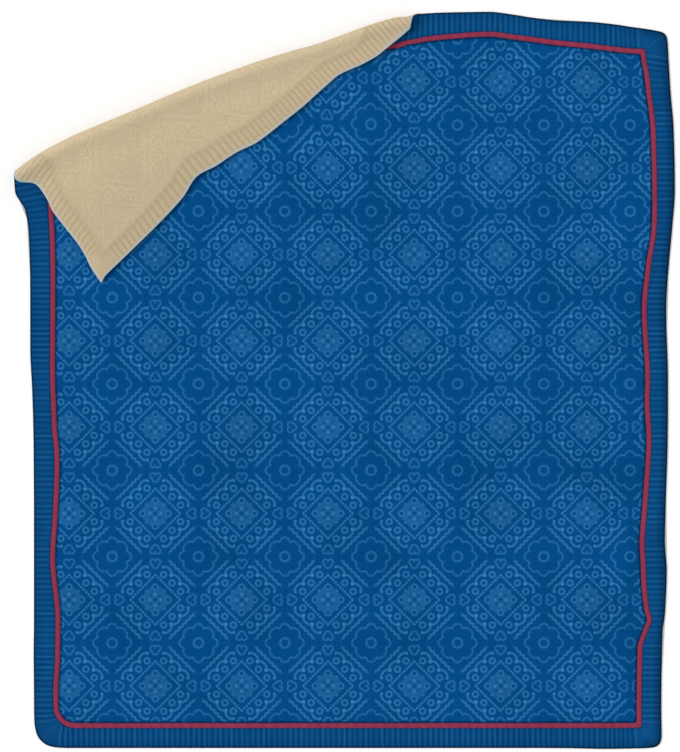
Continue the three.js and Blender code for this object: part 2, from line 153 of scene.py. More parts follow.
TOP_EDGE = [
    (0, 40, 500, 0),
    (30, 31, 500, 0),
    (120, 29, 500, 0),
    (240, 25, 500, 0),
    (320, 20, 500, 0),
    (378, 6, 500, 0),
    (435, 25, 500, 0),
    (490, 38, 480, 0),
    (560, 61, 450, 0),
    (650, 71, 420, 0),
    (760, 78, 380, 0),
    (875, 76, 340, 0),
    (985, 104, 300, 0),
    (1040, 114, 270, -22),
    (1120, 115, 200, -104),
    (1165, 108, 140, -91),
    (1190, 88, 115, -62),
    (1212, 72, 100, -35),
    (1250, 62, 90, -12),
    (1330, 64, 90, -5),
    (1460, 66, 95, 1),
    (1530, 58, 110, 1),
    (1600, 47, 130, 3),
    (1680, 38, 130, 1),
    (1780, 34, 130, -5),
    (1860, 26, 130, -7),
    (1920, 18, 130, -5),
    (1960, 13, 130, -1.5),
    (2030, 0, 130, -1),
]
BOTTOM_EDGE = [
    (0, 0, 130, 1),
    (1700, 0, 130, 1),
    (1820, 3, 130, -2),
    (2030, 0, 130, 0),
]

# Rounding of the corners about a middle this far in from both edges. A power of 2 gives
# a full round, a higher one a squarer corner. Columns: u, v, power at the edge, at the band.
ROUND_MIDDLE = 135
CORNERS = [
    (0, 0, 3.8, 2),
    (WIDE, 0, 8, 14),
    (WIDE, LONG, 14, 24),
    (0, LONG, 45, 45),
]

# How far the rolled edge bows outward. Columns: place along the fold, bow.
BULGE = [
    (-60, -14),
    (0, 0),
    (60, 16),
    (130, 28),
    (220, 36),
    (400, 40),
    (650, 46),
    (820, 42),
    (950, 34),
    (1050, 24),
    (1220, 20),
    (1300, 13),
    (1354, 0),
    (1420, 0),
]

# Soft unevenness: broad dips, small puckers beside the band, dips of the seams, round rims
SEED = 7
WAVES = 12
WAVE_SHORT = 170
WAVE_LONG = 420
WAVE_DEPTH = 3.2
WAVE_RIM = 90
PUCKER = 1.1
PUCKER_REACH = 24
PUCKER_PITCH = 34
PUCKER_CORNER = 40
SEAM_DIP = 1.6
SEAM_SOFT = 3
RIM_ROUND = 20

# The reverse: share of the dips where it is turned up, width and lift of its rounded rim
BACK_DIP = 0.5
BACK_RIM = 3
BACK_RIM_LIFT = 1

# How the puckers drift out of step. Columns: drift in radians, length.
PUCKER_DRIFT = [
    (3, 190),
    (2, 77),
]

# Mesh steps
PANEL_STEP = REPEAT / 40
PANEL_EDGE_LINES = (1.5, 5)
COARSE = 4
BORDER_COLUMNS = 8
BAND_COLUMNS = 4
BACK_COLUMNS = 5
BACK_COARSE = 46
FLAP_U = 1290
FLAP_V = 1790
BORDER_ROWS = (0.2, 1, 2.5, 5, 9, 16, 24, 32, 40, 48, 56, 61, 64, BORDER - GAP / 2)
BAND_ROWS = (0.2, 1, 2.5, 5, 8, 11, 13.5, 15, BAND - GAP / 2)
FLOOR_ROWS = 7
SHARP = math.radians(50)

# Camera over the photograph's centre, and the frame it takes in
IMAGE = (680, 752)
MM_PER_PIXEL = 3.2
CLOTH_CORNER_PIXEL = (33, 748)
CAMERA_HEIGHT = 16000
SENSOR = 36


def smooth(x):
    f = np.clip(x, 0.0, 1.0)
    return f * f * (3 - 2 * f)


def curve(rows, column, x):
    """A smooth curve through the rows of a table."""
    table = np.array(rows, float)
    at = table[:, 0]
    value = table[:, column]
    slope = np.diff(value) / np.diff(at)
    product = slope[:-1] * slope[1:]
    total = np.where(product > 0, slope[:-1] + slope[1:], 1)
    inner = np.where(product > 0, 2 * product / total, 0)
    tangent = np.concatenate([slope[:1], inner, slope[-1:]])
    x = np.clip(x, at[0], at[-1])
    i = np.clip(np.searchsorted(at, x, side="right") - 1, 0, len(at) - 2)
    span = at[i + 1] - at[i]
    f = (x - at[i]) / span
    g = 1 - f
    ends = (1 + 2 * f) * g * g * value[i] + f * f * (3 - 2 * f) * value[i + 1]
    return ends + f * g * span * (g * tangent[i] - f * tangent[i + 1])


def edge_shift(rows, along, depth):
    """Shift outward by one edge, at a depth inside it."""
    keep = 1 - smooth((depth - SEAM) / curve(rows, 2, along))
    near = smooth(depth / BORDER) * (1 - smooth((depth - SEAM) / BAND_FADE))
    return curve(rows, 1, along) * keep + curve(rows, 3, along) * near


def lay(u, v):
    """The cloth as it lies before the corner is folded."""
    x = u - edge_shift(LEFT_EDGE, v, u) + edge_shift(RIGHT_EDGE, v, WIDE - u)
    y = v - edge_shift(BOTTOM_EDGE, u, v) + edge_shift(TOP_EDGE, u, LONG - v)
    for corner_u, corner_v, edge_power, band_power in CORNERS:
        a = np.maximum(0, ROUND_MIDDLE - np.abs(u - corner_u))
        b = np.maximum(0, ROUND_MIDDLE - np.abs(v - corner_v))
        power = edge_power + (band_power - edge_power) * smooth(inside(u, v) / BORDER)
        ratio = np.minimum(a, b) / np.maximum(np.maximum(a, b), 1)
        drawn = 1 - (1 + ratio**power) ** (-1 / power)
        x = x + np.sign(WIDE / 2 - corner_u) * a * drawn
        y = y + np.sign(LONG / 2 - corner_v) * b * drawn
    return x, y


# Lengths along the rolled section: end of the roll, of the slope and of the back bend
BEND_DROP = BACK_BEND * (1 - math.cos(OVER))
SLOPE = (ROLL * (1 + math.cos(OVER)) - FLAP_HEIGHT - BEND_DROP) / math.sin(OVER)
ROLL_END = ROLL * (math.pi + OVER)
SLOPE_END = ROLL_END + SLOPE
BEND_END = SLOPE_END + BACK_BEND * OVER


def section(length):
    """The rolled section: reach beyond the start of the roll, height and heading."""
    turn = np.clip(length, 0, ROLL_END) / ROLL
    slope = np.clip(length - ROLL_END, 0, SLOPE)
    bend = np.clip(length - SLOPE_END, 0, BACK_BEND * OVER) / BACK_BEND
    reach = np.minimum(length, 0) + ROLL * np.sin(turn) - slope * math.cos(OVER)
    reach = reach - BACK_BEND * (math.sin(OVER) - np.sin(OVER - bend))
    reach = reach - np.maximum(0, length - BEND_END)
    height = ROLL * (1 - np.cos(turn)) - slope * math.sin(OVER)
    height = height - BACK_BEND * (np.cos(OVER - bend) - math.cos(OVER))
    return reach, height, turn - bend


def fold_place(u, v):
    """Place along the fold, size of the roll there, and length round the rolled section."""
    x, y = lay(u, v)
    dx = x - FOLD_START[0]
    dy = y - FOLD_START[1]
    along = dx * math.cos(FOLD_ANGLE) + dy * math.sin(FOLD_ANGLE)
    beyond = dy * math.cos(FOLD_ANGLE) - dx * math.sin(FOLD_ANGLE)
    scale = 1 - TAPER * smooth((along - TAPER_FROM) / TAPER_LENGTH)
    return along, scale, beyond / scale + ROLL


def on_flap(u, v):
    """0 on the lying cloth, 1 on the turned corner."""
    return smooth((fold_place(u, v)[2] - TURN_FROM) / TURN_LENGTH)


def place(u, v, w):
    """A cloth point in space, in mm."""
    along, scale, length = fold_place(u, v)
    reach, height, heading = section(length)
    flat = scale * (reach - ROLL) - w * np.sin(heading)
    out = flat + curve(BULGE, 1, along) * smooth(1 + flat / BULGE_DEPTH)
    x = FOLD_START[0] + along * math.cos(FOLD_ANGLE) - out * math.sin(FOLD_ANGLE)
    y = FOLD_START[1] + along * math.sin(FOLD_ANGLE) + out * math.cos(FOLD_ANGLE)
    return np.stack([x, y, scale * height + w * np.cos(heading)], axis=-1)


def inside(u, v):
    """Distance from the nearest edge of the cloth."""
    return np.minimum(np.minimum(u, WIDE - u), np.minimum(v, LONG - v))


def face_base(u, v):
    """Face height without the quilting."""
    depth = inside(u, v)
    rim = RIM_TOP + (SEAM_TOP - RIM_TOP) * depth / BORDER
    crown = SEAM_TOP + (CROWN_TOP - SEAM_TOP) * smooth((depth - SEAM) / CROWN_REACH)
    return np.where(depth <= BORDER, rim, crown)


def settle(u, v, w):
    """A point of the cloth as it lies, in metres in the part's frame."""
    scale = fold_place(u, v)[1]
    rest = FLAP_HEIGHT * scale / 2 - FLAP_CLEAR
    lift = on_flap(u, v) * (rest - face_base(u, v) - PILLOW + PILLOW_SINK)
    base = place(u, v, lift)
    toward = place(u, v, lift + 1) - base
    toward = toward / np.linalg.norm(toward, axis=-1, keepdims=True)
    return (base + toward * w[..., None] - np.array(MIDDLE)) * MM


def pillow(u, v):
    """0 on the diamond seams, 1 in the middle of each diamond."""
    x, y = lay(u, v)
    du = (x - FIRST_U) / REPEAT
    dv = (y - FIRST_V) / REPEAT
    away = np.abs(1 - 2 * (np.abs(du - np.round(du)) + np.abs(dv - np.round(dv))))
    return (1 - (1 - away) ** 2) * smooth((inside(u, v) - SEAM) / PILLOW_FADE)


def sides(u, v):
    """Distance from the nearest upright edge and from the nearest level edge."""
    return np.minimum(u, WIDE - u), np.minimum(v, LONG - v)


def rib(u, v):
    """Puffed ribs across the border, 1 on a rib and -1 in a groove, fading at the corners."""
    from_side, from_end = sides(u, v)
    turn = np.where(from_side < from_end, RIBS_ALONG * v / LONG, RIBS_ACROSS * u / WIDE)
    low = 0.5 - 0.5 * np.cos(2 * math.pi * turn)
    fade = smooth((np.maximum(from_side, from_end) - RIB_CORNER) / RIB_CORNER_FADE)
    return (1 - 2 * low**2) * fade


draw = np.random.default_rng(SEED)
WAVE_ANGLE = draw.uniform(0, math.pi, WAVES)
WAVE_LENGTH = draw.uniform(WAVE_SHORT, WAVE_LONG, WAVES)
WAVE_PHASE = draw.uniform(0, 2 * math.pi, WAVES)


def dips(u, v):
    """Broad soft dips of the padding, never above the level face."""
    total = np.zeros_like(u)
    for angle, length, phase in zip(WAVE_ANGLE, WAVE_LENGTH, WAVE_PHASE):
        run = u * math.cos(angle) + v * math.sin(angle)
        total = total + np.sin(2 * math.pi * run / length + phase)
    share = np.clip(0.5 + total / (2 * math.sqrt(2 * WAVES)), 0, 1)
    return -WAVE_DEPTH * share * smooth(inside(u, v) / WAVE_RIM)


def puckers(u, v):
    """Small gathers that run out from the band's seams."""
    from_side, from_end = sides(u, v)
    run = np.where(from_side < from_end, v, u)
    drift = sum(size * np.sin(run / length) for size, length in PUCKER_DRIFT)
    gather = np.cos(2 * math.pi * run / PUCKER_PITCH + drift)
    fade = smooth(np.abs(from_side - from_end) / PUCKER_CORNER)
    off = np.maximum(BORDER - inside(u, v), inside(u, v) - SEAM)
    return PUCKER * (gather - 1) * fade * np.exp(-np.maximum(off, 0) / PUCKER_REACH)


def seam_dip(distance):
    return SEAM_DIP * np.exp(-distance / SEAM_SOFT)


def panel_face(u, v):
    depth = inside(u, v) - SEAM
    raised = PILLOW * pillow(u, v) - PILLOW_SINK * smooth(depth / PILLOW_FADE)
    return face_base(u, v) + raised + dips(u, v) + puckers(u, v) - seam_dip(depth)


def panel_floor(u, v):
    return FILL_FLOOR - BACK_PILLOW * pillow(u, v) * on_flap(u, v)


def border_face(u, v):
    depth = inside(u, v)
    round_in = np.sqrt(1 - (1 - np.clip(depth / RIM_ROUND, 0, 1)) ** 2)
    level = face_base(u, v) + RIB * rib(u, v) + dips(u, v) + puckers(u, v) - seam_dip(BORDER - depth)
    return FILL_FLOOR + (level - FILL_FLOOR) * round_in


def band_face(u, v):
    depth = inside(u, v)
    edge = np.minimum(depth - BORDER, SEAM - depth)
    return BAND_TOP + dips(u, v) + puckers(u, v) - seam_dip(edge)


def back_under(u, v):
    """The reverse: level on the floor, raised where the corner is turned up."""
    turned = on_flap(u, v)
    ribbed = np.where(inside(u, v) < BORDER, 0.5 * (1 + rib(u, v)), 0)
    rim = 1 - np.clip(inside(u, v) / BACK_RIM, 0, 1)
    raised = BACK_PILLOW * pillow(u, v) + BACK_RIB * ribbed * smooth(inside(u, v) / RIM_ROUND)
    soft = BACK_DIP * (dips(u, v) + WAVE_DEPTH)
    return BACK_RIM_LIFT * rim**2 - turned * (raised + soft * smooth(inside(u, v) / BORDER))


def back_inner(u, v):
    return BACKING_CLOTH - BACK_PILLOW * pillow(u, v) * on_flap(u, v)


# Meshes


def finish_mesh(name, points, faces, cloth, bake):
    """A mesh object with its cloth coordinates, flat and as laid, and a layout for baking."""
    mesh = bpy.data.meshes.new(name)
    mesh.from_pydata(points.tolist(), [], faces)
    mesh.update()
    laid = np.stack([*lay(cloth[:, 0], cloth[:, 1]), cloth[:, 2]], axis=-1)
    for attribute, vectors in (("cloth", cloth), ("laid", laid)):
        note = mesh.attributes.new(attribute, "FLOAT_VECTOR", "POINT")
        note.data.foreach_set("vector", vectors.astype(np.float32).ravel())
    layout = mesh.uv_layers.new(name="OFBake")
    layout.data.foreach_set("uv", np.array(bake, np.float32).ravel())
    mesh.shade_smooth()
    mesh.set_sharp_from_angle(angle=SHARP)
    piece = bpy.data.objects.new(name, mesh)
    bpy.context.scene.collection.objects.link(piece)
    return piece


def every(count, step):
    """Every so many places out of a count, and the last one."""
    picked = list(range(0, count - 1, step))
    if count - 1 - picked[-1] < step / 2 and len(picked) > 1:
        picked.pop()
    return picked + [count - 1]


def ring_of(across, up):
    """Grid places anticlockwise round the outline."""
    low = [(i, up[0]) for i in across[:-1]]
    right = [(across[-1], j) for j in up[:-1]]
    high = [(i, up[-1]) for i in across[:0:-1]]
    left = [(across[0], j) for j in up[:0:-1]]
    return low + right + high + left


# Parts of the baking layout, as shares of it. Columns: left, bottom, width, height.
MAIN_AREA = (0.005, 0.1, 0.99, 0.895)
OTHER_AREA = (0.005, 0.005, 0.6, 0.04)
WALL_AREA = (0.005, 0.055, 0.99, 0.03)
CAP_STEP = 0.5
CAP_WIDTH = 0.4


def in_area(area, across, up):
    return (area[0] + area[2] * across, area[1] + area[3] * up)


def slab(name, us, vs, fine_level, coarse_level, fine_up):
    """Closed cloth between a fine face and a coarser one over the same outline."""
    us = np.array(us, float)
    vs = np.array(vs, float)
    across = every(len(us), COARSE)
    up = every(len(vs), COARSE)
    fine_u, fine_v = np.meshgrid(us, vs, indexing="ij")
    coarse_u, coarse_v = np.meshgrid(us[across], vs[up], indexing="ij")
    fine_points = settle(fine_u, fine_v, fine_level(fine_u, fine_v)).reshape(-1, 3)
    coarse_points = settle(coarse_u, coarse_v, coarse_level(coarse_u, coarse_v)).reshape(-1, 3)
    share_u = (us - us[0]) / (us[-1] - us[0])
    share_v = (vs - vs[0]) / (vs[-1] - vs[0])
    faces = []
    bake = []

    def add_grid(rows_u, rows_v, first, area, upward):
        height = len(rows_v)
        for i in range(len(rows_u) - 1):
            for j in range(height - 1):
                cell = [(i, j), (i + 1, j), (i + 1, j + 1), (i, j + 1)]
                if not upward:
                    cell.reverse()
                faces.append([first + a * height + b for a, b in cell])
                bake.extend(in_area(area, share_u[rows_u[a]], share_v[rows_v[b]]) for a, b in cell)

    add_grid(list(range(len(us))), list(range(len(vs))), 0, MAIN_AREA, fine_up)
    first = len(fine_points)
    add_grid(across, up, first, OTHER_AREA, not fine_up)
    spot = {(a, b): first + i * len(up) + j for i, a in enumerate(across) for j, b in enumerate(up)}
    ring = ring_of(list(range(len(us))), list(range(len(vs))))
    marks = [k for k, at in enumerate(ring) if at in spot]
    for k, start in enumerate(marks):
        end = marks[k + 1] if k + 1 < len(marks) else len(ring)
        run = [ring[n % len(ring)] for n in range(start, end + 1)]
        wall = [spot[run[0]], spot[run[-1]]] + [i * len(vs) + j for i, j in reversed(run)]
        shares = [(start, 0), (end, 0)] + [(n, 1) for n in range(end, start - 1, -1)]
        if not fine_up:
            wall.reverse()
            shares.reverse()
        faces.append(wall)
        bake.extend(in_area(WALL_AREA, n / len(ring), height) for n, height in shares)
    points = np.concatenate([fine_points, coarse_points])
    flat_u = np.concatenate([fine_u.ravel(), coarse_u.ravel()])
    flat_v = np.concatenate([fine_v.ravel(), coarse_v.ravel()])
    cloth = np.stack([flat_u, flat_v, np.zeros_like(flat_u)], axis=-1)
    return finish_mesh(name, points, faces, cloth, bake)


def strip(name, side, rows, start, step, top_level):
    """A mitred closed strip along one side. Its rows are depths from start, outer edge first."""
    upright = side in ("left", "right")
    length = LONG if upright else WIDE
    top_rows = [start + row for row in rows]
    floor_rows = list(np.linspace(top_rows[-1], top_rows[0], FLOOR_ROWS))
    depth = np.array(top_rows + floor_rows)
    stations = np.linspace(0, length, round(length / step) + 1)
    limit = depth + GAP * math.sqrt(0.5)
    run = np.clip(stations[:, None], limit[None, :], length - limit[None, :])
    deep = np.broadcast_to(depth[None, :], run.shape)
    off = {"left": deep, "bottom": deep, "right": WIDE - deep, "top": LONG - deep}[side]
    u, v = (off, run) if upright else (run, off)
    level = np.full_like(u, FILL_FLOOR)
    tops = slice(0, len(top_rows))
    level[:, tops] = top_level(u, v)[:, tops]
    points = settle(u, v, level).reshape(-1, 3)
    cloth = np.stack([u, v, np.zeros_like(u)], axis=-1).reshape(-1, 3)
    count = len(depth)
    numbers = np.arange(len(points)).reshape(run.shape)
    for k in range(1, len(stations)):
        same = np.isclose(run[k], run[k - 1])
        numbers[k] = np.where(same, numbers[k - 1], numbers[k])
    outward = side in ("left", "top")
    faces = []
    bake = []

    def add(places):
        corners = []
        for k, n in places:
            number = numbers[k, n % count]
            if not any(number == numbers[a, b % count] for a, b in corners):
                corners.append((k, n))
        if len(corners) < 3:
            return
        if not outward:
            corners.reverse()
        faces.append([int(numbers[k, n % count]) for k, n in corners])
        bake.extend(in_area(MAIN_AREA, run[k, n % count] / length, n / count) for k, n in corners)

    last = len(stations) - 1
    for k in range(last):
        for n in range(count):
            add([(k, n), (k, n + 1), (k + 1, n + 1), (k + 1, n)])
    for k, order in ((0, range(count - 1, -1, -1)), (last, range(count))):
        cap = [int(numbers[k, n]) for n in order]
        left = CAP_STEP * (k > 0)
        shares = [in_area(OTHER_AREA, left + CAP_WIDTH * n / count, n % 2) for n in order]
        if not outward:
            cap.reverse()
            shares.reverse()
        faces.append(cap)
        bake.extend(shares)
    used = np.unique(np.concatenate([np.array(face) for face in faces]))
    renumber = np.full(len(points), -1)
    renumber[used] = np.arange(len(used))
    faces = [[int(renumber[p]) for p in face] for face in faces]
    return finish_mesh(name, points[used], faces, cloth[used], bake)


def lattice_lines(first, from_edge, to_edge, step, near):
    """Grid lines on the lattice between two edges, with a few more close to each edge."""
    count = math.ceil((to_edge - from_edge) / step) + math.ceil(first / step)
    lines = [first + k * step for k in range(-count, count)]
    clear = near[-1] + step / 2
    inner = [at for at in lines if from_edge + clear < at < to_edge - clear]
    low = [from_edge] + [from_edge + at for at in near]
    high = [to_edge - at for at in reversed(near)] + [to_edge]
    return low + inner + high


def steps(start, end, size):
    return list(np.linspace(start, end, round((end - start) / size) + 1))


PANEL_EDGE = SEAM + GAP / 2
panel = slab(
    "quilt_panel",
    lattice_lines(FIRST_U, PANEL_EDGE, WIDE - PANEL_EDGE, PANEL_STEP, PANEL_EDGE_LINES),
    lattice_lines(FIRST_V, PANEL_EDGE, LONG - PANEL_EDGE, PANEL_STEP, PANEL_EDGE_LINES),
    panel_face,
    panel_floor,
    True,
)

SIDES = ("top", "right", "bottom", "left")
RIB_PITCH = LONG / RIBS_ALONG
borders = {}
bands = {}
for side in SIDES:
    borders[side] = strip(
        f"quilt_border_{side}", side, BORDER_ROWS, 0, RIB_PITCH / BORDER_COLUMNS, border_face
    )
    bands[side] = strip(
        f"quilt_band_{side}", side, BAND_ROWS, BORDER, RIB_PITCH / BAND_COLUMNS, band_face
    )

BACK_STEP = RIB_PITCH / BACK_COLUMNS
RIM_LINES = [0, 1, 2.2]
back_u = RIM_LINES + steps(BACK_STEP, FLAP_U, BACK_STEP)
back_u += steps(FLAP_U, WIDE - BACK_STEP, BACK_COARSE)[1:] + [WIDE - at for at in RIM_LINES[::-1]]
back_v = RIM_LINES + steps(BACK_STEP, FLAP_V, BACK_COARSE)
back_v += steps(FLAP_V, LONG - BACK_STEP, BACK_STEP)[1:] + [LONG - at for at in RIM_LINES[::-1]]
back = slab("quilt_reverse", back_u, back_v, back_under, back_inner, False)


# Materials

# Softness of a painted line in mm
STROKE_SOFT = 2.4


class Value:
    """A number in a shader. Sums with it make the maths nodes."""

    def __init__(self, tree, socket):
        self.tree = tree
        self.socket = socket

    def maths(self, operation, *others, clamp=False):
        node = self.tree.nodes.new("ShaderNodeMath")
        node.operation = operation
        node.use_clamp = clamp
        for port, value in zip(node.inputs, (self, *others)):
            feed(self.tree, port, value)
        return Value(self.tree, node.outputs[0])

    def __add__(self, other):
        return self.maths("ADD", other)

    def __sub__(self, other):
        return self.maths("SUBTRACT", other)

    def __mul__(self, other):
        return self.maths("MULTIPLY", other)

    def __pow__(self, other):
        return self.maths("POWER", other)

    def __abs__(self):
        return self.maths("ABSOLUTE")

    def less_from(self, number):
        return self.maths("MULTIPLY_ADD", -1, number)


def feed(tree, port, value):
    if isinstance(value, Value):
        tree.links.new(value.socket, port)
    else:
        port.default_value = value


def lowest(a, b):
    return a.maths("MINIMUM", b)


def highest(first, *others):
    result = first
    for other in others:
        result = result.maths("MAXIMUM", other)
    return result


def span(a, b):
    return (a * a + b * b).maths("SQRT")


def below(value, limit, soft):
    """1 where the value is under the limit, 0 above it, with a soft change."""
    return value.maths("MULTIPLY_ADD", -0.5 / soft, 0.5 + 0.5 * limit / soft, clamp=True)


def above(value, limit, soft):
    """1 where the value is over the limit, 0 under it, with a soft change."""
    return value.maths("MULTIPLY_ADD", 0.5 / soft, 0.5 - 0.5 * limit / soft, clamp=True)


def stroke(distance, half, soft=STROKE_SOFT):
    """A line of this half width where the distance is 0."""
    return below(abs(distance), half, soft)


def linear(colour):
    """Screen colour 0 to 255 as the shader's colour."""
    shares = [part / 255 for part in colour]
    low = [s / 12.92 if s <= 0.04045 else ((s + 0.055) / 1.055) ** 2.4 for s in shares]
    return (*low, 1)


class Cloth:
    """A cloth material being made: its nodes, its cloth coordinates and its colour so far."""

    def __init__(self, name, roughness):
        self.material = bpy.data.materials.new(name)
        self.material.use_nodes = True
        self.tree = self.material.node_tree
        self.shader = self.tree.nodes["Principled BSDF"]
        self.shader.inputs["Roughness"].default_value = roughness
        self.shader.inputs["Specular IOR Level"].default_value = 0
        self.where, self.u, self.v = self.coordinates("cloth")
        self.from_side = lowest(self.u, self.u.less_from(WIDE))
        self.from_end = lowest(self.v, self.v.less_from(LONG))
        self.depth = lowest(self.from_side, self.from_end)
        self.along_corner = highest(self.from_side, self.from_end)
        self.colour = None

    def coordinates(self, attribute):
        note = self.tree.nodes.new("ShaderNodeAttribute")
        note.attribute_name = attribute
        parts = self.tree.nodes.new("ShaderNodeSeparateXYZ")
        self.tree.links.new(note.outputs["Vector"], parts.inputs[0])
        across = Value(self.tree, parts.outputs["X"])
        return note.outputs["Vector"], across, Value(self.tree, parts.outputs["Y"])

    def chance(self, number):
        """A random share from 0 to 1 for each whole number."""
        node = self.tree.nodes.new("ShaderNodeTexWhiteNoise")
        node.noise_dimensions = "1D"
        feed(self.tree, node.inputs["W"], number.maths("ROUND"))
        return Value(self.tree, node.outputs["Value"])

    def noise(self, size, detail=2):
        """Noise from 0 to 1 with features of about this size in mm."""
        shape = self.tree.nodes.new("ShaderNodeMapping")
        shape.inputs["Scale"].default_value = (1 / size, 1 / size, 1)
        self.tree.links.new(self.where, shape.inputs["Vector"])
        node = self.tree.nodes.new("ShaderNodeTexNoise")
        node.inputs["Scale"].default_value = 1
        node.inputs["Detail"].default_value = detail
        self.tree.links.new(shape.outputs["Vector"], node.inputs["Vector"])
        return Value(self.tree, node.outputs["Fac"])

    def ground(self, colour):
        node = self.tree.nodes.new("ShaderNodeRGB")
        node.outputs[0].default_value = linear(colour)
        self.colour = node.outputs[0]

    def paint(self, share, colour):
        """Lays a colour over what is there, by a share from 0 to 1."""
        node = self.tree.nodes.new("ShaderNodeMix")
        node.data_type = "RGBA"
        feed(self.tree, node.inputs["Factor"], share)
        self.tree.links.new(self.colour, node.inputs[6])
        node.inputs[7].default_value = linear(colour)
        self.colour = node.outputs[2]

    def vary(self, factor):
        """Scales the brightness by a number."""
        node = self.tree.nodes.new("ShaderNodeVectorMath")
        node.operation = "SCALE"
        self.tree.links.new(self.colour, node.inputs[0])
        feed(self.tree, node.inputs["Scale"], factor)
        self.colour = node.outputs[0]

    def patches(self, size, detail, swing, least):
        """Uneven shares, from the least one up by the swing."""
        return self.noise(size, detail) * swing + least

    def mottle(self, rows):
        """Scales the brightness by uneven patches, row after row."""
        for row in rows:
            self.vary(self.patches(*row))

    def shade(self, rows):
        """Paints colours that lie to one side of a depth from the edge."""
        for test, limit, soft, share, colour in rows:
            self.paint(test(self.depth, limit, soft) * share, colour)

    def ribs(self):
        """Number of the rib, place across it from 0 in a groove to 1, and fade at corners."""
        upright = self.from_side.maths("LESS_THAN", self.from_end)
        turn_v = self.v * (RIBS_ALONG / LONG)
        turn_u = self.u * (RIBS_ACROSS / WIDE)
        turn = turn_u + upright * (turn_v - turn_u)
        across_rib = (turn + 0.5).maths("PINGPONG", 0.5) * 2
        fade = above(self.along_corner, RIB_CORNER + RIB_CORNER_FADE / 2, RIB_CORNER_FADE / 2)
        return turn, across_rib, fade

    def weave(self, pitch):
        """A plain weave: threads over and under, from -1 to 1."""
        warp = (self.u * (2 * math.pi / pitch)).maths("SINE")
        weft = (self.v * (2 * math.pi / pitch)).maths("SINE")
        return warp * weft

    def done(self, relief, raised=None):
        """Ends the material with its colour and a relief of weave, fuzz and raised lines."""
        pitch, weave, size, fuzz, strength, depth = relief
        height = self.weave(pitch) * weave
        if raised is not None:
            height = raised + height
        height = height + self.noise(size) * fuzz
        self.tree.links.new(self.colour, self.shader.inputs["Base Color"])
        bump = self.tree.nodes.new("ShaderNodeBump")
        bump.inputs["Strength"].default_value = strength
        bump.inputs["Distance"].default_value = depth * MM
        feed(self.tree, bump.inputs["Height"], height)
        self.tree.links.new(bump.outputs["Normal"], self.shader.inputs["Normal"])
        return self.material


# Motif of the repeat, in mm from a medallion's middle. Columns: place along the longer
# axis, place along the shorter axis, radius, brightness, which is darkness in a hole.
MIDDLE_SPOTS = [
    (17, 0, 6, 0.85),
    (41, 0, 11.5, 0.6),
    (28, 28, 5, 0.55),
]
MIDDLE_HOLES = [
    (0, 0, 6, 1),
    (13.5, 13.5, 4.5, 0.75),
    (41, 0, 6, 1),
]
RINGS = [
    (80.5, 26.5, 8.7, 0.85),
    (53.6, 53.6, 8.7, 0.85),
]
SCALLOP_SPOTS = [
    (78.5, 51, 6, 1),
    (104, 25, 4, 0.9),
]
MIDDLE_SIZE = 56
MIDDLE_TIP = 44
MIDDLE_LIGHT = 0.33
MIDDLE_SOFT = 2.5
MIDDLE_TIP_SOFT = 3
SPOT_SOFT = 2
HOLE_SOFT = 1.5
RING_HALF = 2.3
DOT_LINE = 79.5
DOT_HALF = 4.4
DOT_PITCH = 15.5
DOT_LIGHT = 0.86
DOT_SOFT = 2
DOT_LEAST = 0.65
DOT_SWING = 0.35
SCALLOP = 26
SCALLOP_HALF = 2.8
SCALLOP_FROM = 116
SCALLOP_SIDE = 22
SCALLOP_LIGHT = 0.8
SCALLOP_SOFT = 2
SCALLOP_SPOT_SOFT = 1.5
BEAD_LINE = 168.5
BEAD_HALF = 5.6
BEAD_WIGGLE = 2.4
BEAD_PITCH = 24
BEAD_SIDE = 43
BEAD_LIGHT = 0.6
BEAD_SOFT = 2.5
BEAD_SIDE_SOFT = 4
FLOWER = 48
PETAL_WAVES = 4
PETAL = 12.5
PETAL_UNEVEN = 3
PETAL_TURN = 0.15
PETAL_POWER = 0.75
FLOWER_HALF = 3
FLOWER_LIGHT = 0.7
FLOWER_FADE = 0.25
FLOWER_RING = 15
RING_LIGHT = 0.6

# Hearts, joined from two rounds. Columns: place beyond the tip, place aside, radius.
HEART_TIP = 96
HEART_ROUNDS = [
    (24.5, 8, 11),
    (15, 0, 12.5),
]
HEART_BLEND = 9
HEART_HALF = 2.4
HEART_LIGHT = 0.64


